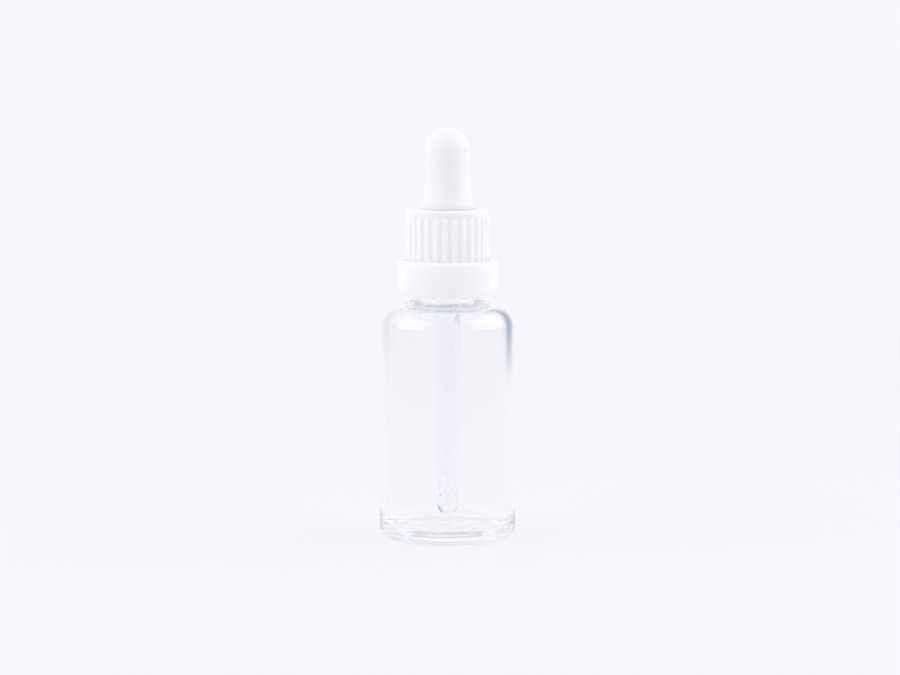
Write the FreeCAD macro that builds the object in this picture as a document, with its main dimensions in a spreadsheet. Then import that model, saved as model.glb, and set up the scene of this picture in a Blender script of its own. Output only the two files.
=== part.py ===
import FreeCAD, Part
import os
import re
import Sketcher

# A dropper bottle: a round glass bottle with a screw neck, and a dropper made of a ribbed screw cap, a rubber
# teat and a glass pipette. A tamper ring stays under the bead of the neck and hangs on the cap by small bridges.
# The origin is on the bottle's axis at its standing plane, +Z up, and every length is in millimetres.

doc = FreeCAD.newDocument("DropperBottle")

# Driving sizes -----------------------------------------------------------------------------------------------

sizes = {
    # bottle
    "body_dia": 33.0,
    "bottle_height": 78.0,
    "wall_height": 51.4,  # where the straight wall ends and the shoulder starts
    "glass_wall": 1.9,
    "shoulder_radius": 6.5,
    "heel_radius": 2.5,
    "standing_width": 1.6,  # the flat ring that the bottle stands on
    "push_up": 0.9,
    "floor_thickness": 2.1,
    "floor_corner": 3.0,
    "neck_bore": 11.8,
    "neck_blend": 1.2,
    "bore_blend": 2.0,
    "throat_dia": 17.2,  # the neck under the bead
    "bead_drop": 11.8,  # from the rim down to the bead
    "bead_height": 2.6,
    "bead_land": 1.0,
    "bead_dia": 21.6,
    "neck_dia": 15.9,
    "rim_radius": 0.6,
    # screw thread
    "thread_dia": 17.8,
    "thread_pitch": 3.0,
    "thread_turns": 1.75,
    "thread_drop": 1.8,  # from the rim down to the middle of the thread's upper end
    "thread_root": 2.0,
    "thread_crest": 0.9,
    "thread_sink": 0.15,  # how far a thread's root goes into its wall
    "thread_clearance": 0.3,  # crest of the cap's thread to the neck
    "thread_play": 0.3,  # flank to flank
    # screw cap
    "cap_clearance": 0.15,  # cap's bore to the crest of the neck's thread
    "cap_wall": 0.65,
    "cap_top_wall": 1.15,
    "cap_height": 12.45,
    "cap_corner": 0.4,
    "cap_hole_dia": 11.8,
    "rib_count": 28,
    "rib_radius": 0.5,
    "rib_drop": 1.75,  # from the cap's top down to the ribs
    "rib_angle": 9.73,  # degrees from +X to the first rib
    # tamper ring
    "ring_dia": 24.74,
    "ring_taper": 0.12,
    "ring_corner": 1.1,
    "ring_rise": 0.15,  # how far the ring's top stands above the cap's foot
    "ring_skirt": 4.1,  # from the bead's underside down to the ring's foot
    "ring_chamfer_height": 1.9,
    "ring_chamfer_width": 0.9,
    "ring_clearance": 0.25,  # ring's wall to the bead
    "ring_web": 0.7,
    "web_clearance": 0.25,  # how much wider the web's hole is than the cap's bore
    "slit_clearance": 0.15,  # ribs of the cap to the step of the ring
    "lip_play": 0.4,  # retaining lip to the bead's underside
    "lip_depth": 0.7,
    "lip_height": 1.0,
    "lip_slope": 0.8,
    # breakaway bridges
    "bridge_count": 14,
    "bridge_height": 0.25,
    "bridge_width": 0.6,
    "bridge_depth": 0.6,
    # rubber teat
    "teat_dia": 10.75,
    "teat_rise": 19.65,  # above the cap's top
    "teat_wall": 1.45,
    "flare_height": 8.15,
    "flare_radius": 28.0,
    "flange_height": 1.0,
    "flange_clearance": 0.25,  # flange to the cap's bore
    "hole_clearance": 0.05,  # stem of the teat to the cap's hole
    "grip_height": 6.0,
    "grip_step": 0.7,
    "grip_clearance": 0.03,  # teat's bore to the pipette
    # glass pipette
    "tube_dia": 6.3,
    "tube_bore": 4.3,
    "tube_rise": 5.5,  # above the bottle's rim
    "tube_length": 77.55,
    "tube_edge": 0.4,
    "ball_dia": 5.8,
    "ball_drop": 2.25,  # from the middle of the ball down to the cut tip
    "tip_neck_dia": 4.2,
    "tip_neck_height": 6.2,  # from the cut tip up to the end of the narrow neck
    "tip_taper_height": 2.5,
    "tip_bore": 1.3,
    "tip_bore_height": 4.2,
    "bore_taper_height": 5.0,
}

sheet = doc.addObject("Spreadsheet::Sheet", "Sizes")
for row, (name, size) in enumerate(sizes.items(), start=1):
    sheet.set(f"A{row}", str(size))
    sheet.setAlias(f"A{row}", name)
doc.recompute()

# Places that pieces share, as expressions of the sheet's cells -----------------------------------------------

BODY = "body_dia / 2"
NECK = "neck_dia / 2"
THREAD = "thread_dia / 2"
BEAD = "bead_dia / 2"
BEAD_TOP = "bottle_height - bead_drop"
BEAD_FOOT = f"{BEAD_TOP} - bead_height"
FLANGE_TOP = "bottle_height + flange_height"
CAP_TOP = f"{FLANGE_TOP} + cap_top_wall"
CAP_FOOT = f"{CAP_TOP} - cap_height"
CAP_BORE = f"{THREAD} + cap_clearance"
CAP_SIDE = f"{CAP_BORE} + cap_wall"
WEB_TOP = f"{CAP_FOOT} - bridge_height"
WEB_BORE = f"{CAP_BORE} + web_clearance"
RING_STEP = f"{CAP_SIDE} + rib_radius + slit_clearance"
TUBE_TOP = "bottle_height + tube_rise"
TUBE_TIP = f"{TUBE_TOP} - tube_length"
THREAD_LOW = "bottle_height - thread_drop - thread_pitch * thread_turns"


def bound(text):
    """An expression with each size's name turned into a reference to its cell."""
    return re.sub(r"[a-z_]+", lambda word: f"Sizes.{word[0]}" if word[0] in sizes else word[0], text)


def value(text):
    return float(sheet.evalExpression(bound(text)))


def new_body(name, label):
    body = doc.addObject("PartDesign::Body", name)
    body.Label = label
    return body


def new_sketch(body, name, plane="XZ_Plane"):
    sketch = body.newObject("Sketcher::SketchObject", name)
    face = next(f for f in body.Origin.OriginFeatures if f.Role == plane)
    sketch.AttachmentSupport = [(face, "")]
    sketch.MapMode = "FlatFace"
    return sketch


def draw(sketch, corners):
    """Closes a profile through corners (x, y) or (x, y, radius). A radius makes the side that ends at that
    corner an arc, which turns left if the radius starts with "+" and right if it starts with "-"."""
    points = [FreeCAD.Vector(value(c[0]), value(c[1]), 0) for c in corners]
    for i, corner in enumerate(corners):
        start, end = points[i - 1], points[i]
        if len(corner) == 2:
            sketch.addGeometry(Part.LineSegment(start, end), False)
            continue
        radius = value(corner[2][1:])
        turn = 1 if corner[2][0] == "+" else -1
        across = FreeCAD.Vector(start.y - end.y, end.x - start.x, 0).normalize()
        chord = end.distanceToPoint(start)
        sagitta = radius - max(radius**2 - chord**2 / 4, 0) ** 0.5
        middle = (start + end) * 0.5 - across * (turn * sagitta)
        sketch.addGeometry(Part.Arc(start, middle, end), False)
    ends = []
    for i, corner in enumerate(corners):
        # an arc is kept anticlockwise, so one that turns right is stored from its end to its start
        flipped = len(corner) == 3 and corner[2][0] == "-"
        ends.append((2, 1) if flipped else (1, 2))
    for i, corner in enumerate(corners):
        after = (i + 1) % len(corners)
        sketch.addConstraint(Sketcher.Constraint("Coincident", i, ends[i][1], after, ends[after][0]))
        for kind, text, axis in (("DistanceX", corner[0], -2), ("DistanceY", corner[1], -1)):
            if text == "0":
                sketch.addConstraint(Sketcher.Constraint("PointOnObject", i, ends[i][1], axis))
                continue
            rule = Sketcher.Constraint(kind, -1, 1, i, ends[i][1], value(text))
            sketch.setExpression(f"Constraints[{sketch.addConstraint(rule)}]", bound(text))
        if len(corner) == 3:
            rule = Sketcher.Constraint("Radius", i, value(corner[2][1:]))
            sketch.setExpression(f"Constraints[{sketch.addConstraint(rule)}]", bound(corner[2][1:]))


def turned(body, name, corners):
    """A full revolution of a profile about the body's own axis."""
    sketch = new_sketch(body, f"{name}Profile")
    draw(sketch, corners)
    feature = body.newObject("PartDesign::Revolution", name)
    feature.Profile = sketch
    feature.ReferenceAxis = (sketch, ["V_Axis"])
    feature.Angle = 360
    return feature


def screwed(body, name, corners):
    """A right-handed thread ridge that sweeps a profile up the body's own axis."""
    sketch = new_sketch(body, f"{name}Profile")
    draw(sketch, corners)
    feature = body.newObject("PartDesign::AdditiveHelix", name)
    feature.Profile = sketch
    feature.ReferenceAxis = (sketch, ["V_Axis"])
    feature.Mode = "pitch-turns-angle"
    feature.setExpression("Pitch", bound("thread_pitch"))
    feature.setExpression("Turns", bound("thread_turns"))
    feature.LeftHanded = False
    return feature


# Bottle: one glass wall with a rounded heel and shoulder, a pushed-up floor and a threaded neck --------------

bottle = new_body("Bottle", "bottle")
stand = f"({BODY} - heel_radius - standing_width)"
shoulder_top = "wall_height + shoulder_radius"
shoulder_in = f"{BODY} - shoulder_radius"
inner_shoulder = "shoulder_radius - glass_wall"
inner_floor = "push_up + floor_thickness"
turned(
    bottle,
    "BottleWall",
    [
        ("0", inner_floor),
        ("0", "push_up"),
        (stand, "0", f"-(({stand} ^ 2 + push_up ^ 2) / (2 * push_up))"),
        (f"{BODY} - heel_radius", "0"),
        (BODY, "heel_radius", "+heel_radius"),
        (BODY, "wall_height"),
        (shoulder_in, shoulder_top, "+shoulder_radius"),
        ("throat_dia / 2 + neck_blend", shoulder_top),
        ("throat_dia / 2", f"{shoulder_top} + neck_blend", "-neck_blend"),
        ("throat_dia / 2", BEAD_FOOT),
        (BEAD, BEAD_FOOT),
        (BEAD, f"{BEAD_FOOT} + bead_land"),
        (NECK, BEAD_TOP),
        (NECK, "bottle_height - rim_radius"),
        (f"{NECK} - rim_radius", "bottle_height", "+rim_radius"),
        ("neck_bore / 2 + rim_radius", "bottle_height"),
        ("neck_bore / 2", "bottle_height - rim_radius", "+rim_radius"),
        ("neck_bore / 2", f"{shoulder_top} - glass_wall + bore_blend"),
        ("neck_bore / 2 + bore_blend", f"{shoulder_top} - glass_wall", "+bore_blend"),
        (shoulder_in, f"{shoulder_top} - glass_wall"),
        (f"{BODY} - glass_wall", "wall_height", f"-({inner_shoulder})"),
        (f"{BODY} - glass_wall", f"{inner_floor} + floor_corner"),
        (f"{BODY} - glass_wall - floor_corner", inner_floor, "-floor_corner"),
    ],
)
thread_root_in = f"{NECK} - thread_sink"
screwed(
    bottle,
    "NeckThread",
    [
        (thread_root_in, f"{THREAD_LOW} + thread_root / 2"),
        (thread_root_in, f"{THREAD_LOW} - thread_root / 2"),
        (NECK, f"{THREAD_LOW} - thread_root / 2"),
        (THREAD, f"{THREAD_LOW} - thread_crest / 2"),
        (THREAD, f"{THREAD_LOW} + thread_crest / 2"),
        (NECK, f"{THREAD_LOW} + thread_root / 2"),
    ],
)

# Tamper ring: a band round the bead, with a web under the cap's foot and a lip under the bead ----------------

ring = new_body("Ring", "tamper_ring")
ring_side = "ring_dia / 2"
ring_inside = f"{BEAD} + ring_clearance"
ring_top = f"{CAP_FOOT} + ring_rise"
ring_foot = f"{BEAD_FOOT} - ring_skirt"
lip_top = f"{BEAD_FOOT} - lip_play"
turned(
    ring,
    "RingBand",
    [
        (ring_inside, ring_foot),
        (f"{ring_side} - ring_chamfer_width", ring_foot),
        (ring_side, f"{ring_foot} + ring_chamfer_height"),
        (f"{ring_side} - ring_taper", f"{ring_top} - ring_corner"),
        (f"{ring_side} - ring_taper - ring_corner", ring_top, "+ring_corner"),
        (RING_STEP, ring_top),
        (RING_STEP, WEB_TOP),
        (WEB_BORE, WEB_TOP),
        (WEB_BORE, f"{WEB_TOP} - ring_web"),
        (ring_inside, f"{WEB_TOP} - ring_web"),
        (ring_inside, lip_top),
        (f"{ring_inside} - lip_depth", lip_top),
        (f"{ring_inside} - lip_depth", f"{lip_top} - lip_height"),
        (ring_inside, f"{lip_top} - lip_height - lip_slope"),
    ],
)

# Breakaway bridges: blocks that stand on the ring's web and reach the cap's foot under the ribs --------------

bridges = new_body("Bridges", "breakaway_bridges")
bridges.AllowCompound = True
bridge = bridges.newObject("PartDesign::AdditiveBox", "Bridge")
bridge.setExpression("Length", bound("bridge_depth"))
bridge.setExpression("Width", bound("bridge_width"))
bridge.setExpression("Height", bound("bridge_height"))
bridge_in = f"({CAP_SIDE} + rib_radius - slit_clearance - bridge_depth)"
bridge.setExpression(
    "Placement.Base.x", bound(f"{bridge_in} * cos(rib_angle) + bridge_width / 2 * sin(rib_angle)")
)
bridge.setExpression(
    "Placement.Base.y", bound(f"{bridge_in} * sin(rib_angle) - bridge_width / 2 * cos(rib_angle)")
)
bridge.setExpression("Placement.Base.z", bound(WEB_TOP))
bridge.setExpression("Placement.Rotation.Angle", bound("rib_angle"))
doc.recompute()
bridge_row = bridges.newObject("PartDesign::PolarPattern", "BridgeRow")
bridge_row.Originals = [bridge]
bridge_row.Axis = (next(f for f in bridges.Origin.OriginFeatures if f.Role == "Z_Axis"), [""])
bridge_row.Angle = 360
bridge_row.setExpression("Occurrences", bound("bridge_count"))
bridges.Tip = bridge_row

# Screw cap: a ribbed skirt with an inside thread and a top wall that the teat comes through ------------------

cap = new_body("Cap", "screw_cap")
turned(
    cap,
    "CapShell",
    [
        (CAP_BORE, CAP_FOOT),
        (CAP_SIDE, CAP_FOOT),
        (CAP_SIDE, f"{CAP_TOP} - cap_corner"),
        (f"{CAP_SIDE} - cap_corner", CAP_TOP, "+cap_corner"),
        ("cap_hole_dia / 2", CAP_TOP),
        ("cap_hole_dia / 2", FLANGE_TOP),
        (CAP_BORE, FLANGE_TOP),
    ],
)
rib = cap.newObject("PartDesign::AdditiveCylinder", "Rib")
rib.setExpression("Radius", bound("rib_radius"))
rib.setExpression("Height", bound(f"{CAP_TOP} - rib_drop - rib_radius - ({CAP_FOOT})"))
rib.setExpression("Placement.Base.z", bound(CAP_FOOT))
rib_end = cap.newObject("PartDesign::AdditiveSphere", "RibEnd")
rib_end.setExpression("Radius", bound("rib_radius"))
rib_end.setExpression("Placement.Base.z", bound(f"{CAP_TOP} - rib_drop - rib_radius"))
for piece in (rib, rib_end):
    piece.setExpression("Placement.Base.x", bound(f"({CAP_SIDE}) * cos(rib_angle)"))
    piece.setExpression("Placement.Base.y", bound(f"({CAP_SIDE}) * sin(rib_angle)"))
doc.recompute()
rib_row = cap.newObject("PartDesign::PolarPattern", "RibRow")
rib_row.Originals = [rib, rib_end]
rib_row.Axis = (next(f for f in cap.Origin.OriginFeatures if f.Role == "Z_Axis"), [""])
rib_row.Angle = 360
rib_row.setExpression("Occurrences", bound("rib_count"))
cap.Tip = rib_row
groove_low = f"({THREAD_LOW} - thread_pitch / 2)"
flank = "((thread_root - thread_crest) / (thread_dia - neck_dia))"
cap_crest_half = f"(thread_pitch / 2 - thread_play - thread_root / 2 + {flank} * thread_clearance)"
cap_root_half = f"({cap_crest_half} + {flank} * ({CAP_BORE} - {NECK} - thread_clearance))"
screwed(
    cap,
    "CapThread",
    [
        (f"{CAP_BORE} + thread_sink", f"{groove_low} - {cap_root_half}"),
        (f"{CAP_BORE} + thread_sink", f"{groove_low} + {cap_root_half}"),
        (CAP_BORE, f"{groove_low} + {cap_root_half}"),
        (f"{NECK} + thread_clearance", f"{groove_low} + {cap_crest_half}"),
        (f"{NECK} + thread_clearance", f"{groove_low} - {cap_crest_half}"),
        (CAP_BORE, f"{groove_low} - {cap_root_half}"),
    ],
)

# Rubber teat: a hollow bulb with a flared foot, a stem in the cap's hole and a flange that seals on the rim --

teat = new_body("Teat", "rubber_teat")
teat_side = "teat_dia / 2"
teat_top = f"{CAP_TOP} + teat_rise"
flare = "flare_radius - sqrt(flare_radius ^ 2 - flare_height ^ 2)"
stem = "cap_hole_dia / 2 - hole_clearance"
flange = f"{CAP_BORE} - flange_clearance"
grip = "tube_dia / 2 + grip_clearance"
cavity = "(teat_dia / 2 - teat_wall)"
turned(
    teat,
    "TeatWall",
    [
        ("0", f"{teat_top} - teat_wall"),
        (cavity, f"{teat_top} - teat_wall - {cavity}", f"-{cavity}"),
        (cavity, "bottle_height + grip_height + grip_step"),
        (grip, "bottle_height + grip_height"),
        (grip, "bottle_height"),
        (flange, "bottle_height"),
        (flange, FLANGE_TOP),
        (stem, FLANGE_TOP),
        (stem, CAP_TOP),
        (f"{teat_side} + {flare}", CAP_TOP),
        (teat_side, f"{CAP_TOP} + flare_height", "-flare_radius"),
        (teat_side, f"{teat_top} - {teat_side}"),
        ("0", teat_top, f"+{teat_side}"),
    ],
)

# Glass pipette: a tube that the teat grips, drawn in to a narrow neck and a ball tip with a fine bore --------

pipette = new_body("Pipette", "glass_pipette")
tube = "tube_dia / 2"
tip_neck = "tip_neck_dia / 2"
ball = "ball_dia / 2"
ball_middle = f"{TUBE_TIP} + ball_drop"
neck_low = f"{ball_middle} + sqrt(({ball}) ^ 2 - ({tip_neck}) ^ 2)"
neck_high = f"{TUBE_TIP} + tip_neck_height"
bore_low = f"{TUBE_TIP} + tip_bore_height"
turned(
    pipette,
    "PipetteWall",
    [
        ("tip_bore / 2", TUBE_TIP),
        (f"sqrt(({ball}) ^ 2 - ball_drop ^ 2)", TUBE_TIP),
        (ball, ball_middle, f"+{ball}"),
        (tip_neck, neck_low, f"+{ball}"),
        (tip_neck, neck_high),
        (tube, f"{neck_high} + tip_taper_height"),
        (tube, f"{TUBE_TOP} - tube_edge"),
        (f"{tube} - tube_edge", TUBE_TOP, "+tube_edge"),
        ("tube_bore / 2", TUBE_TOP),
        ("tube_bore / 2", f"{bore_low} + bore_taper_height"),
        ("tip_bore / 2", bore_low),
    ],
)

# Checks and files --------------------------------------------------------------------------------------------

doc.recompute()
for piece in doc.Objects:
    if "Invalid" in piece.State or "Error" in piece.State:
        raise RuntimeError(f"{piece.Name} did not build: {piece.State}")
bodies = (bottle, ring, bridges, cap, teat, pipette)
for body in bodies:
    if body.Shape.isNull() or not body.Shape.isValid():
        raise RuntimeError(f"{body.Label} has no valid shape")
    print(f"{body.Label}: {len(body.Shape.Solids)} solid, {body.Shape.Volume / 1000:.3f} ml")

os.makedirs("parts", exist_ok=True)
for body in bodies:
    body.Shape.exportStep(f"parts/{body.Label}.step")
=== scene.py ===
import math

import bmesh
import bpy
from mathutils import Matrix, Vector


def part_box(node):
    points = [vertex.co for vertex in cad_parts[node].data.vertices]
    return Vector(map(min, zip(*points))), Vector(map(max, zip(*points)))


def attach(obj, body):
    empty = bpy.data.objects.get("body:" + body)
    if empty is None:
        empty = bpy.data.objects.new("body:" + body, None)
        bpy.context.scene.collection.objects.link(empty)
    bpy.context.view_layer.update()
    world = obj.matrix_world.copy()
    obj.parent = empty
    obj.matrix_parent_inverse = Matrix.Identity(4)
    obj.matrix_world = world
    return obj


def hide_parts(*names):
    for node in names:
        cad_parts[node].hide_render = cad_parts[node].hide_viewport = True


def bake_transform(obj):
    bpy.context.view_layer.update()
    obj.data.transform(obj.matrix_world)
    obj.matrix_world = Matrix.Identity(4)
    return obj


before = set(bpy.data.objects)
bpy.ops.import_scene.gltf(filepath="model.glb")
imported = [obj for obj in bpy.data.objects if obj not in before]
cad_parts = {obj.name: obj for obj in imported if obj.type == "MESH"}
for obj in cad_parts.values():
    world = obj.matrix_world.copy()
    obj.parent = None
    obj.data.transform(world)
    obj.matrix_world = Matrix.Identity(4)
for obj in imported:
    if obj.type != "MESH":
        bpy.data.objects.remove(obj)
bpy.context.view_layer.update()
MM = 0.001

# -----------------------------------------------------------------------------------------------------------
# Bottle. Clear blown glass: a round body with a rounded heel and shoulder, a floor pushed up in the middle,
# and a neck with a bead for the tamper ring and a right-handed thread. It is one closed glass wall here,
# inside and outside, so that light bends through it as through the real one.


def frame_reach(node):
    """The outer radius, the foot and the top of a round part of the frame, in millimetres."""
    low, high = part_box(node)
    return [round(length / MM, 2) for length in (high[0], low[2], high[2])]


# Radii and heights in millimetres. The body has one wall thickness, and the floor is pushed up in the middle.
body_radius, bottle_foot, rim = frame_reach("bottle")
glass_wall = 1.9
inner_radius = body_radius - glass_wall
wall_middle = 27.0
heel_rounding = 2.5
standing_radius = 12.4
push_up = 0.9
floor_top = 3.0
shoulder = rim - 20.1
shoulder_rounding = 6.5

# The neck, from its throat under the bead up to the rim, with the thread from its lower end up.
neck_radius = 7.95
bore_radius = 5.9
throat_radius = 8.6
bead_radius = 10.8
bead_foot = rim - 14.4
bead_top = rim - 11.8
rim_rounding = 0.6
thread_foot = rim - 7.05
thread_pitch = 3.0
thread_turns = 1.75
thread_depth = 0.93
on_wall = 0.02


def profile_wire(shape, corners, closed):
    """Draws corners (radius, height, rounding, steps) in millimetres as one wire beside the axis, and rounds
    each corner that has a rounding, which is how far from the corner the curve starts."""
    points = [shape.verts.new((r * MM, 0, z * MM)) for r, z, *_ in corners]
    for start, end in zip(points, points[1:] + points[:1] if closed else points[1:]):
        shape.edges.new((start, end))
    for point, (_, _, rounding, steps) in zip(points, corners):
        if rounding:
            bmesh.ops.bevel(shape, geom=[point], offset=rounding * MM, offset_type="OFFSET", segments=steps,
                            profile=0.5, affect="VERTICES", clamp_overlap=False, material=-1)


def split_wall(shape, radius, foot, top, cuts):
    """Cuts up the wire's wall at one radius, between two heights, so that a thread or a rib can be raised."""

    def on_this_wall(v):
        return abs(v.co.x / MM - radius) < 0.01 and foot - 0.01 < v.co.z / MM < top + 0.01

    wall = [e for e in shape.edges if all(on_this_wall(v) for v in e.verts)]
    bmesh.ops.subdivide_edges(shape, edges=wall, cuts=cuts, use_grid_fill=False)


def lathe(shape, steps, sectors=8):
    """Spins the wire through one sector of a turn and repeats that all the way round, which is far quicker
    than one long spin, closes the seams and poles and points the faces outwards."""
    sector = math.tau / sectors
    wire = shape.verts[:] + shape.edges[:]
    bmesh.ops.spin(shape, geom=wire, cent=(0, 0, 0), axis=(0, 0, 1), angle=sector, steps=steps // sectors,
                   use_merge=False, use_duplicate=False)
    first = shape.verts[:] + shape.edges[:] + shape.faces[:]
    bmesh.ops.spin(shape, geom=first, cent=(0, 0, 0), axis=(0, 0, 1), angle=math.tau - sector,
                   steps=sectors - 1, use_merge=False, use_duplicate=True)
    bmesh.ops.remove_doubles(shape, verts=shape.verts[:], dist=0.002 * MM)
    bmesh.ops.recalc_face_normals(shape, faces=shape.faces[:])


def piece_from(shape, name, material, sharp=35):
    """Turns a finished bmesh into a smooth-shaded piece of the object with one material."""
    mesh = bpy.data.meshes.new(name)
    shape.to_mesh(mesh)
    shape.free()
    mesh.materials.append(material)
    mesh.shade_smooth()
    mesh.set_sharp_from_angle(angle=math.radians(sharp))
    piece = bpy.data.objects.new(name, mesh)
    bpy.context.scene.collection.objects.link(piece)
    return piece


def ease(t):
    """A smooth step from 0 to 1 while t goes from 0 to 1."""
    t = min(max(t, 0.0), 1.0)
    return t * t * (3 - 2 * t)


def thread_height(point, foot, root, crest):
    """How far a thread stands up at a point, from 0 beside it to 1 on its crest. It fades at both ends."""
    around = (math.atan2(point.y, point.x) % math.tau) / math.tau
    height = point.z / MM - foot
    run = around + round(height / thread_pitch - around)
    off = abs(height - thread_pitch * run)
    side = 1 - ease((off - crest / 2) / ((root - crest) / 2))
    overrun, fade = 0.01, 0.09
    return side * ease((run + overrun) / fade) * ease((thread_turns + overrun - run) / fade)


def push_out(point, distance):
    """Moves a point straight out from the axis by a distance in millimetres, or in if it is negative."""
    share = 1 + distance * MM / math.hypot(point.x, point.y)
    point.x *= share
    point.y *= share


def new_material(name):
    material = bpy.data.materials.new(name)
    material.use_nodes = True
    nodes = material.node_tree.nodes
    return material, nodes, material.node_tree.links, nodes["Principled BSDF"]


def blend_tints(nodes, links, share, first, second):
    """A tint between two others, each of which is a colour or the output of a node."""
    blend = nodes.new("ShaderNodeMix")
    blend.data_type = "RGBA"
    links.new(share, blend.inputs["Factor"])
    for socket, tint in ((blend.inputs[6], first), (blend.inputs[7], second)):
        if isinstance(tint, tuple):
            socket.default_value = tint
        else:
            links.new(tint, socket)
    return blend.outputs[2]


def mottle_group():
    """A soft mottle read from Object coordinates: colour and roughness drift over broad patches, and the
    Height output carries fine relief. Plastic, rubber and glass all use it, each with its own values."""
    group = bpy.data.node_groups.new("moulding mottle", "ShaderNodeTree")
    face = group.interface
    for label, kind, start in (
        ("Patch Size", "NodeSocketFloat", 200.0),
        ("Grain Size", "NodeSocketFloat", 2500.0),
        ("Light Colour", "NodeSocketColor", (0.8, 0.8, 0.8, 1)),
        ("Dark Colour", "NodeSocketColor", (0.7, 0.7, 0.7, 1)),
        ("Smoothest", "NodeSocketFloat", 0.3),
        ("Roughest", "NodeSocketFloat", 0.4),
    ):
        face.new_socket(name=label, in_out="INPUT", socket_type=kind).default_value = start
    face.new_socket(name="Colour", in_out="OUTPUT", socket_type="NodeSocketColor")
    face.new_socket(name="Roughness", in_out="OUTPUT", socket_type="NodeSocketFloat")
    face.new_socket(name="Height", in_out="OUTPUT", socket_type="NodeSocketFloat")
    nodes, links = group.nodes, group.links
    inside, outside = nodes.new("NodeGroupInput"), nodes.new("NodeGroupOutput")
    place = nodes.new("ShaderNodeTexCoord")
    patches, grain = nodes.new("ShaderNodeTexNoise"), nodes.new("ShaderNodeTexNoise")
    patches.inputs["Detail"].default_value = 3
    grain.inputs["Detail"].default_value = 2
    for noise, size in ((patches, "Patch Size"), (grain, "Grain Size")):
        links.new(place.outputs["Object"], noise.inputs["Vector"])
        links.new(inside.outputs[size], noise.inputs["Scale"])
    drift = patches.outputs["Fac"]
    tint = blend_tints(nodes, links, drift, inside.outputs["Dark Colour"], inside.outputs["Light Colour"])
    gloss = nodes.new("ShaderNodeMix")
    links.new(drift, gloss.inputs["Factor"])
    links.new(inside.outputs["Smoothest"], gloss.inputs[2])
    links.new(inside.outputs["Roughest"], gloss.inputs[3])
    links.new(tint, outside.inputs["Colour"])
    links.new(gloss.outputs[0], outside.inputs["Roughness"])
    links.new(grain.outputs["Fac"], outside.inputs["Height"])
    return group


moulding_mottle = mottle_group()


def place_mottle(nodes, links, shader, values, relief, depth):
    """Puts the mottle in a material, on its colour, roughness and bump."""
    mottle = nodes.new("ShaderNodeGroup")
    mottle.node_tree = moulding_mottle
    for label, value in values.items():
        mottle.inputs[label].default_value = value
    bump = nodes.new("ShaderNodeBump")
    bump.inputs["Strength"].default_value = relief
    bump.inputs["Distance"].default_value = depth
    links.new(mottle.outputs["Height"], bump.inputs["Height"])
    links.new(mottle.outputs["Colour"], shader.inputs["Base Color"])
    links.new(mottle.outputs["Roughness"], shader.inputs["Roughness"])
    links.new(bump.outputs["Normal"], shader.inputs["Normal"])


def glass_material(name, light, dark):
    """Clear glass with a faint tint that drifts, and the slight waviness of a formed surface."""
    material, nodes, links, shader = new_material(name)
    shader.inputs["Transmission Weight"].default_value = 1.0
    shader.inputs["IOR"].default_value = 1.5
    values = {
        "Patch Size": 60.0,
        "Grain Size": 110.0,
        "Light Colour": light,
        "Dark Colour": dark,
        "Smoothest": 0.0,
        "Roughest": 0.012,
    }
    place_mottle(nodes, links, shader, values, relief=0.015, depth=0.4 * MM)
    return material


bottle_glass = glass_material("moulded clear glass", (0.992, 0.996, 0.997, 1), (0.980, 0.989, 0.992, 1))

shape = bmesh.new()
profile_wire(
    shape,
    [
        (0, push_up, 0, 0),
        (7.6, 0.62, 3.0, 5),
        (standing_radius, bottle_foot, 0.8, 4),
        (body_radius, bottle_foot, heel_rounding, 12),
        (body_radius, wall_middle, 0, 0),
        (body_radius, shoulder, shoulder_rounding, 24),
        (throat_radius, shoulder, 1.2, 8),
        (throat_radius, bead_foot, 0.5, 5),
        (bead_radius, bead_foot, 0.4, 5),
        (bead_radius, bead_foot + 1.0, 0.5, 5),
        (neck_radius, bead_top, 0.7, 5),
        (neck_radius, rim, rim_rounding, 6),
        (bore_radius, rim, rim_rounding, 6),
        (bore_radius, shoulder - glass_wall, 2.0, 10),
        (inner_radius, shoulder - glass_wall, shoulder_rounding - glass_wall, 20),
        (inner_radius, wall_middle, 0, 0),
        (inner_radius, floor_top, 3.2, 14),
        (7.0, floor_top - 0.05, 3.0, 4),
        (0, floor_top + 0.1, 0, 0),
    ],
    closed=False,
)
split_wall(shape, neck_radius, bead_top, rim, cuts=54)
lathe(shape, steps=288)
for v in shape.verts:
    beside_wall = abs(math.hypot(v.co.x, v.co.y) / MM - neck_radius)
    if beside_wall < on_wall and bead_top + 0.3 < v.co.z / MM < rim - 0.55:
        push_out(v.co, thread_depth * thread_height(v.co, thread_foot, root=2.0, crest=0.9))
bottle = piece_from(shape, "bottle_glass", bottle_glass, sharp=60)
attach(bottle, "bottle")
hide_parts("bottle")

# -----------------------------------------------------------------------------------------------------------
# Tamper ring. A band of white plastic moulded in one shot with the cap. It drops over the bead of the neck, a
# lip on its inside catches under the bead, and it stays on the bottle once the bridges to the cap are broken.

ring_radius, ring_foot, ring_top = frame_reach("tamper_ring")
ring_bore = 11.05
ring_taper = 0.12
chamfer_width = 0.9
chamfer_height = 1.9
step_radius = 10.35
web_bore = 9.3
web_top = ring_top - 0.4
web_foot = web_top - 0.7
lip_radius = 10.35
lip_top = bead_foot - 0.4
lip_foot = lip_top - 1.0


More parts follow.
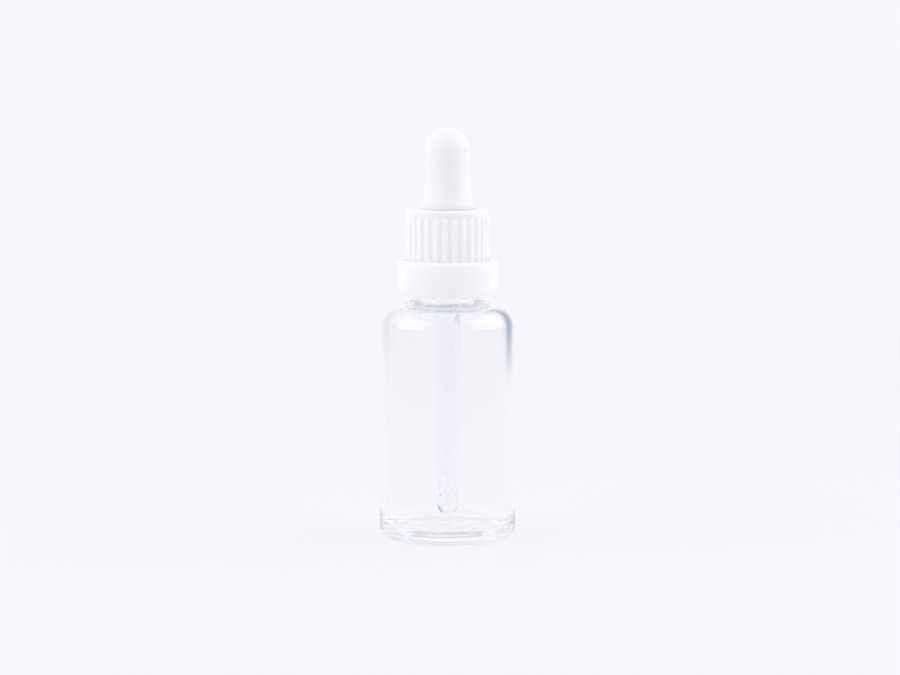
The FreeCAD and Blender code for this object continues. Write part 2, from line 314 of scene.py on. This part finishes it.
def white_plastic(name, light, dark, smoothest, roughest, depth):
    """White plastic that light soaks into a little way, with a faint mottle."""
    material, nodes, links, shader = new_material(name)
    shader.inputs["IOR"].default_value = 1.49
    shader.inputs["Subsurface Weight"].default_value = 0.9
    shader.inputs["Subsurface Radius"].default_value = (1.05, 1.0, 1.0)
    shader.inputs["Subsurface Scale"].default_value = depth
    values = {
        "Patch Size": 90.0,
        "Grain Size": 5200.0,
        "Light Colour": light,
        "Dark Colour": dark,
        "Smoothest": smoothest,
        "Roughest": roughest,
    }
    place_mottle(nodes, links, shader, values, relief=0.25, depth=0.02 * MM)
    return material


ring_plastic = white_plastic("white ring plastic", (0.912, 0.907, 0.92, 1), (0.895, 0.89, 0.904, 1),
                             smoothest=0.32, roughest=0.42, depth=1.2 * MM)

shape = bmesh.new()
profile_wire(
    shape,
    [
        (ring_bore, ring_foot, 0.12, 3),
        (ring_radius - chamfer_width, ring_foot, 0.15, 4),
        (ring_radius, ring_foot + chamfer_height, 0.22, 5),
        (ring_radius - ring_taper, ring_top, 1.1, 12),
        (step_radius, ring_top, 0.1, 3),
        (step_radius, web_top, 0, 0),
        (web_bore, web_top, 0.1, 3),
        (web_bore, web_foot, 0.1, 3),
        (ring_bore, web_foot, 0.3, 4),
        (ring_bore, lip_top, 0, 0),
        (lip_radius, lip_top, 0.15, 3),
        (lip_radius, lip_foot, 0.15, 3),
        (ring_bore, lip_foot - 0.8, 0, 0),
    ],
    closed=True,
)
lathe(shape, steps=224)
ring = piece_from(shape, "tamper_ring_band", ring_plastic)
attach(ring, "ring")
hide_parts("tamper_ring")

# -----------------------------------------------------------------------------------------------------------
# Breakaway bridges. Thin posts of the same plastic between the ring's web and the foot of the cap. They tear
# the first time that the cap is turned. Each is a small block, pinched at its top, where it breaks.

_, bridge_foot, bridge_top = frame_reach("breakaway_bridges")
bridge_count = 14
bridge_width = 0.6
bridge_pinch = 0.7
bridge_radius = 9.75
first_angle = math.radians(9.73)  # of the first bridge, and of the cap's first rib

shape = bmesh.new()
for k in range(bridge_count):
    block = bmesh.ops.create_cube(shape, size=1.0)["verts"]
    block_size = Vector((bridge_width, bridge_width, bridge_top - bridge_foot)) * MM
    bmesh.ops.scale(shape, verts=block, vec=block_size)
    top = [v for v in block if v.co.z > 0]
    bmesh.ops.scale(shape, verts=top, vec=(bridge_pinch, bridge_pinch, 1.0))
    middle = Vector((bridge_radius, 0, (bridge_foot + bridge_top) / 2)) * MM
    bmesh.ops.translate(shape, verts=block, vec=middle)
    turned = Matrix.Rotation(first_angle + k * math.tau / bridge_count, 3, "Z")
    bmesh.ops.rotate(shape, verts=block, cent=(0, 0, 0), matrix=turned)
bridges = piece_from(shape, "bridge_posts", ring_plastic)
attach(bridges, "ring")
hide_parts("breakaway_bridges")

# -----------------------------------------------------------------------------------------------------------
# Screw cap. Injection-moulded white plastic: a plain band at the top, rounded grip ribs down the skirt, a
# hole in its top wall for the teat, and a thread inside that runs on the neck's thread.

_, skirt_foot, crown = frame_reach("screw_cap")
cap_bore = 9.05
cap_side = 9.7
cap_hole = 5.9
crown_under = crown - 1.15
cap_thread_depth = 0.78

# Each rib is a rounded ridge on the cap's side, and it ends in a round nose below the plain band.
rib_count = 28
rib_top = crown - 1.75
rib_bulge = 0.48
rib_half_width = 0.62
rib_nose = 0.6
rib_fullness = 2.6
points_per_rib = 14

cap_plastic = white_plastic("white cap plastic", (0.935, 0.93, 0.942, 1), (0.915, 0.91, 0.923, 1),
                            smoothest=0.3, roughest=0.4, depth=0.8 * MM)


def rib_height(point):
    """How far a rib stands out at a point of the cap's side, in millimetres."""
    turn = (math.atan2(point.y, point.x) - first_angle) / math.tau * rib_count
    across = abs(turn - round(turn)) / rib_count * math.tau * cap_side
    upward = max(0.0, point.z / MM - (rib_top - rib_nose))
    off = min(math.hypot(across / rib_half_width, upward / rib_nose), 1.0)
    return rib_bulge * math.sqrt(1 - off ** rib_fullness)


nose_foot = rib_top - 0.7
nose_top = rib_top + 0.1
shape = bmesh.new()
profile_wire(
    shape,
    [
        (cap_bore, skirt_foot, 0.1, 3),
        (cap_side, skirt_foot, 0, 0),
        (cap_side, nose_foot, 0, 0),
        (cap_side, nose_top, 0, 0),
        (cap_side, crown, 0.4, 8),
        (cap_hole, crown, 0.12, 3),
        (cap_hole, crown_under, 0.12, 3),
        (cap_bore, crown_under, 0.2, 3),
    ],
    closed=True,
)
split_wall(shape, cap_side, nose_foot, nose_top, cuts=9)
split_wall(shape, cap_bore, skirt_foot, crown_under, cuts=50)
lathe(shape, steps=rib_count * points_per_rib)
for v in shape.verts:
    reach = math.hypot(v.co.x, v.co.y) / MM
    if abs(reach - cap_side) < on_wall and v.co.z / MM < rib_top:
        push_out(v.co, rib_height(v.co))
    elif abs(reach - cap_bore) < on_wall:
        ridge = thread_height(v.co, thread_foot - thread_pitch / 2, root=1.6, crest=0.75)
        push_out(v.co, -cap_thread_depth * ridge)
cap = piece_from(shape, "cap_shell", cap_plastic)
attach(cap, "cap")
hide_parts("screw_cap")

# -----------------------------------------------------------------------------------------------------------
# Rubber teat. Soft white rubber, dip-smooth: a hollow bulb with a round top and a flared foot. Its stem sits
# in the cap's hole, and its flange is clamped between the cap and the bottle's rim, where it seals.

flange_radius, flange_foot, teat_top = frame_reach("rubber_teat")
flange_top = flange_foot + 1.0
stem_radius = 5.85
foot_radius = 6.59
bulb_radius = 5.375
flare_top = crown + 4.05
rubber_wall = 1.45
hollow_radius = bulb_radius - rubber_wall
grip_radius = 3.18
grip_top = flange_foot + 6.0
cap_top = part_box("screw_cap")[1][2]

teat_rubber, nodes, links, shader = new_material("white teat rubber")
shader.inputs["IOR"].default_value = 1.45
shader.inputs["Subsurface Weight"].default_value = 0.6
shader.inputs["Subsurface Radius"].default_value = (1.05, 1.0, 1.0)
shader.inputs["Subsurface Scale"].default_value = 1.8 * MM
rubber_values = {
    "Patch Size": 160.0,
    "Grain Size": 3200.0,
    "Light Colour": (0.95, 0.946, 0.95, 1),
    "Dark Colour": (0.935, 0.93, 0.936, 1),
    "Smoothest": 0.4,
    "Roughest": 0.52,
}
place_mottle(nodes, links, shader, rubber_values, relief=0.3, depth=0.03 * MM)

shape = bmesh.new()
profile_wire(
    shape,
    [
        (0, teat_top - rubber_wall, 0, 0),
        (hollow_radius, teat_top - rubber_wall, hollow_radius, 14),
        (hollow_radius, grip_top + 0.7, 0.2, 3),
        (grip_radius, grip_top, 0.2, 3),
        (grip_radius, flange_foot, 0.1, 3),
        (flange_radius, flange_foot, 0.3, 5),
        (flange_radius, flange_top, 0.3, 5),
        (stem_radius, flange_top, 0, 0),
        (stem_radius, crown, 0, 0),
        (foot_radius, crown, 0.03, 2),
        (bulb_radius, flare_top, 4.1, 16),
        (bulb_radius, teat_top, bulb_radius, 24),
        (0, teat_top, 0, 0),
    ],
    closed=False,
)
above_cap = [e for e in shape.edges if all(v.co.z > cap_top - 0.01 * MM for v in e.verts)]
long_edges = [e for e in above_cap if e.calc_length() > 1.2 * MM]
bmesh.ops.subdivide_edges(shape, edges=long_edges, cuts=8, use_grid_fill=False)
lathe(shape, steps=160)
teat = piece_from(shape, "teat_bulb", teat_rubber)
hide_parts("rubber_teat")
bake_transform(teat)

# -----------------------------------------------------------------------------------------------------------
# Glass pipette. A drawn glass tube that the teat grips by its top. Its lower end is heated and pulled in to a
# narrow neck, then gathered to a small ball with a fine hole, so that drops come off one at a time.

tube_radius, tip, tube_top = frame_reach("glass_pipette")
tube_bore = 2.15
tip_bore = 0.65
tip_face = 1.83
tip_neck = 2.1
ball_corner = 3.35  # where the ball's flanks would meet if they were straight

pipette_glass = glass_material("drawn tube glass", (0.988, 0.988, 0.994, 1), (0.976, 0.977, 0.988, 1))

shape = bmesh.new()
profile_wire(
    shape,
    [
        (tip_bore, tip, 0.2, 4),
        (tip_face, tip, 0.25, 4),
        (ball_corner, tip + 2.05, 1.75, 14),
        (tip_neck, tip + 4.3, 0.6, 6),
        (tip_neck, tip + 6.2, 0.9, 6),
        (tube_radius, tip + 8.7, 1.1, 6),
        (tube_radius, tube_top, 0.45, 6),
        (tube_bore, tube_top, 0.3, 5),
        (tube_bore, tip + 9.2, 1.4, 6),
        (tip_bore, tip + 4.2, 1.4, 6),
    ],
    closed=True,
)
lathe(shape, steps=128)
pipette = piece_from(shape, "pipette_tube", pipette_glass, sharp=60)
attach(pipette, "dropper")
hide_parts("glass_pipette")

# -----------------------------------------------------------------------------------------------------------
# Floor. A pale matt sheet that fades into the room before its edge. It keeps the bottle's shadow, and the
# lens and the glass see it a little lighter than the lamps make it, so that it runs into the background.

PALE = (0.928, 0.922, 0.968, 1)
floor_radius = 0.62
fade_near, fade_far = 0.12, 0.50
lift_to_lens, lift_to_glass = 0.55, 0.85


def soft_step(nodes, links, value, low, high):
    """A smooth ramp from 0 where the value is low to 1 where it is high."""
    ramp = nodes.new("ShaderNodeMapRange")
    ramp.interpolation_type = "SMOOTHSTEP"
    ramp.inputs["From Min"].default_value = low
    ramp.inputs["From Max"].default_value = high
    links.new(value, ramp.inputs["Value"])
    return ramp.outputs["Result"]


def product(nodes, links, value, share):
    """A node's value times a plain number or another node's value."""
    times = nodes.new("ShaderNodeMath")
    times.operation = "MULTIPLY"
    links.new(value, times.inputs[0])
    if isinstance(share, float):
        times.inputs[1].default_value = share
    else:
        links.new(share, times.inputs[1])
    return times.outputs["Value"]


def mix_shaders(nodes, links, share, first, second):
    """A shader between two others."""
    mixed = nodes.new("ShaderNodeMixShader")
    links.new(share, mixed.inputs["Fac"])
    links.new(first, mixed.inputs[1])
    links.new(second, mixed.inputs[2])
    return mixed.outputs["Shader"]


floor_material, nodes, links, shader = new_material("pale matt floor")
shader.inputs["Roughness"].default_value = 0.95
shader.inputs["Specular IOR Level"].default_value = 0.05
place, dust = nodes.new("ShaderNodeTexCoord"), nodes.new("ShaderNodeTexNoise")
dust.inputs["Scale"].default_value = 9.0
links.new(place.outputs["Object"], dust.inputs["Vector"])
dust_tint = blend_tints(nodes, links, dust.outputs["Fac"], (0.86, 0.853, 0.878, 1), (0.875, 0.868, 0.893, 1))
links.new(dust_tint, shader.inputs["Base Color"])

path, lift = nodes.new("ShaderNodeLightPath"), nodes.new("ShaderNodeMath")
lift.operation = "MAXIMUM"
links.new(product(nodes, links, path.outputs["Is Camera Ray"], lift_to_lens), lift.inputs[0])
links.new(product(nodes, links, path.outputs["Is Transmission Ray"], lift_to_glass), lift.inputs[1])
glow = nodes.new("ShaderNodeEmission")
glow.inputs["Color"].default_value = PALE
lifted = mix_shaders(nodes, links, lift.outputs["Value"], shader.outputs["BSDF"], glow.outputs["Emission"])

distance, clear = nodes.new("ShaderNodeVectorMath"), nodes.new("ShaderNodeBsdfTransparent")
distance.operation = "LENGTH"
links.new(place.outputs["Object"], distance.inputs[0])
edge_fade = soft_step(nodes, links, distance.outputs["Value"], fade_near, fade_far)
faded = mix_shaders(nodes, links, edge_fade, lifted, clear.outputs["BSDF"])
links.new(faded, nodes["Material Output"].inputs["Surface"])


def stage_sheet(shape, name, material):
    """Turns a bmesh into a sheet of the stage, which isn't part of the object."""
    mesh = bpy.data.meshes.new(name)
    shape.to_mesh(mesh)
    shape.free()
    mesh.materials.append(material)
    sheet = bpy.data.objects.new(name, mesh)
    bpy.context.scene.collection.objects.link(sheet)
    return sheet


shape = bmesh.new()
bmesh.ops.create_circle(shape, cap_ends=True, segments=96, radius=floor_radius)
bmesh.ops.translate(shape, verts=shape.verts, vec=(0, 0, -0.05 * MM))  # a hair below the glass
floor = stage_sheet(shape, "floor", floor_material)

# -----------------------------------------------------------------------------------------------------------
# Soft boxes. Two large rectangular lamps stand at the bottle's sides, a little in front of it, and look down
# at it. They light both sides of the cap and the teat and leave the middle a little darker.

lamp_target = Vector((0, 0, 0.06))


def soft_box(name, place, width, height, power):
    lamp = bpy.data.lights.new(name, "AREA")
    lamp.shape = "RECTANGLE"
    lamp.size, lamp.size_y, lamp.energy = width, height, power
    box = bpy.data.objects.new(name, lamp)
    box.location = place
    box.rotation_euler = (lamp_target - Vector(place)).to_track_quat("-Z", "Y").to_euler()
    bpy.context.scene.collection.objects.link(box)


soft_box("left soft box", (-0.62, -0.24, 0.376), width=0.84, height=0.57, power=1.5)
soft_box("right soft box", (0.62, -0.08, 0.376), width=0.92, height=0.57, power=1.5)

# -----------------------------------------------------------------------------------------------------------
# Side cards. Tall curved sheets stand behind the bottle at both sides, and only light that has passed through
# glass shows them. The right one makes the dark blue rim of the shoulder and the dark line of the pipette.
# The left one is faint.

card_reach = 0.16
card_foot, card_top = 0.012, 0.22
card_start, card_turn = math.radians(10), math.radians(46)


def side_card(name, side, near_tint, far_tint, strength):
    """A card round the axis, side 1 for right and -1 for left. It fades in with the angle and the height."""
    card_material, nodes, links, shader = new_material(name)
    place, split = nodes.new("ShaderNodeTexCoord"), nodes.new("ShaderNodeSeparateXYZ")
    turn, path = nodes.new("ShaderNodeMath"), nodes.new("ShaderNodeLightPath")
    turn.operation = "ARCTAN2"
    links.new(place.outputs["Object"], split.inputs["Vector"])
    links.new(split.outputs["X"], turn.inputs[0])
    links.new(split.outputs["Y"], turn.inputs[1])

    far = soft_step(nodes, links, turn.outputs["Value"], side * 0.44, side * 0.62)
    glow, clear = nodes.new("ShaderNodeEmission"), nodes.new("ShaderNodeBsdfTransparent")
    links.new(blend_tints(nodes, links, far, near_tint, far_tint), glow.inputs["Color"])

    sideways = soft_step(nodes, links, turn.outputs["Value"], side * 0.26, side * 0.52)
    upwards = soft_step(nodes, links, split.outputs["Z"], 0.018, 0.040)
    cover = product(nodes, links, path.outputs["Is Transmission Ray"], sideways)
    cover = product(nodes, links, cover, upwards)
    cover = product(nodes, links, cover, strength)
    covered = mix_shaders(nodes, links, cover, clear.outputs["BSDF"], glow.outputs["Emission"])
    links.new(covered, nodes["Material Output"].inputs["Surface"])

    shape = bmesh.new()
    ends = [shape.verts.new((0, card_reach, height)) for height in (card_foot, card_top)]
    edge = shape.edges.new(ends)
    bmesh.ops.rotate(shape, verts=ends, cent=(0, 0, 0), matrix=Matrix.Rotation(-card_start * side, 3, "Z"))
    bmesh.ops.spin(shape, geom=[*ends, edge], cent=(0, 0, 0), axis=(0, 0, 1), angle=-card_turn * side,
                   steps=24, use_merge=False, use_duplicate=False)
    card = stage_sheet(shape, name, card_material)


side_card("slate and blue card", 1, (0.56, 0.70, 0.86, 1), (0.36, 0.40, 0.47, 1), 1.0)
side_card("grey card", -1, (0.80, 0.79, 0.84, 1), (0.50, 0.49, 0.54, 1), 0.3)

# -----------------------------------------------------------------------------------------------------------
# Room. It is bright behind and above the bottle and dimmer on the side that the camera stands on. Glass sees
# it a little darker towards the camera, which draws its outlines, and the lens sees an even pale background.

ROOM_BRIGHT, ROOM_DIM = (0.975, 0.967, 0.995, 1), (0.64, 0.633, 0.662, 1)
GLASS_DIM = (0.78, 0.778, 0.812, 1)
height_share = 0.7

world = bpy.data.worlds.new("pale room")
world.use_nodes = True
nodes, links = world.node_tree.nodes, world.node_tree.links
place, split = nodes.new("ShaderNodeTexCoord"), nodes.new("ShaderNodeSeparateXYZ")
path, back_and_up = nodes.new("ShaderNodeLightPath"), nodes.new("ShaderNodeMath")
back_and_up.operation = "MULTIPLY_ADD"
back_and_up.inputs[1].default_value = height_share
links.new(place.outputs["Generated"], split.inputs["Vector"])
links.new(split.outputs["Z"], back_and_up.inputs[0])
links.new(split.outputs["Y"], back_and_up.inputs[2])
behind = soft_step(nodes, links, back_and_up.outputs["Value"], -0.5, 0.5)
room = blend_tints(nodes, links, behind, ROOM_DIM, ROOM_BRIGHT)
behind_glass = soft_step(nodes, links, split.outputs["Y"], -0.1, 0.92)
through = blend_tints(nodes, links, behind_glass, GLASS_DIM, PALE)
bent = blend_tints(nodes, links, path.outputs["Is Transmission Ray"], room, through)
seen = blend_tints(nodes, links, path.outputs["Is Camera Ray"], bent, PALE)
links.new(seen, nodes["Background"].inputs["Color"])
bpy.context.scene.world = world

# -----------------------------------------------------------------------------------------------------------
# Camera. A long lens about a metre in front of the bottle, a little above its middle, that looks down
# slightly.

camera_place = (0.6 * MM, -1.0, 0.160)
look_down = math.radians(6.35)

lens = bpy.data.cameras.new("camera")
lens.sensor_width = 36.0
lens.lens = 165.5
lens.clip_start = 0.05
lens.clip_end = 20.0
camera = bpy.data.objects.new("camera", lens)
camera.location = camera_place
camera.rotation_euler = (math.radians(90) - look_down, 0, 0)
bpy.context.scene.collection.objects.link(camera)
bpy.context.scene.camera = camera
bpy.context.scene.view_settings.view_transform = "Standard"

# Light is trapped many times over in the thick glass of the base and the neck, so its paths may be long, and
# glass that lights the plastic behind it stays as clear as it is, because blurring it there would darken the
# neck.
paths = bpy.context.scene.cycles
paths.max_bounces = 128
paths.diffuse_bounces = 16
paths.glossy_bounces = 128
paths.transmission_bounces = 128
paths.blur_glossy = 0.0
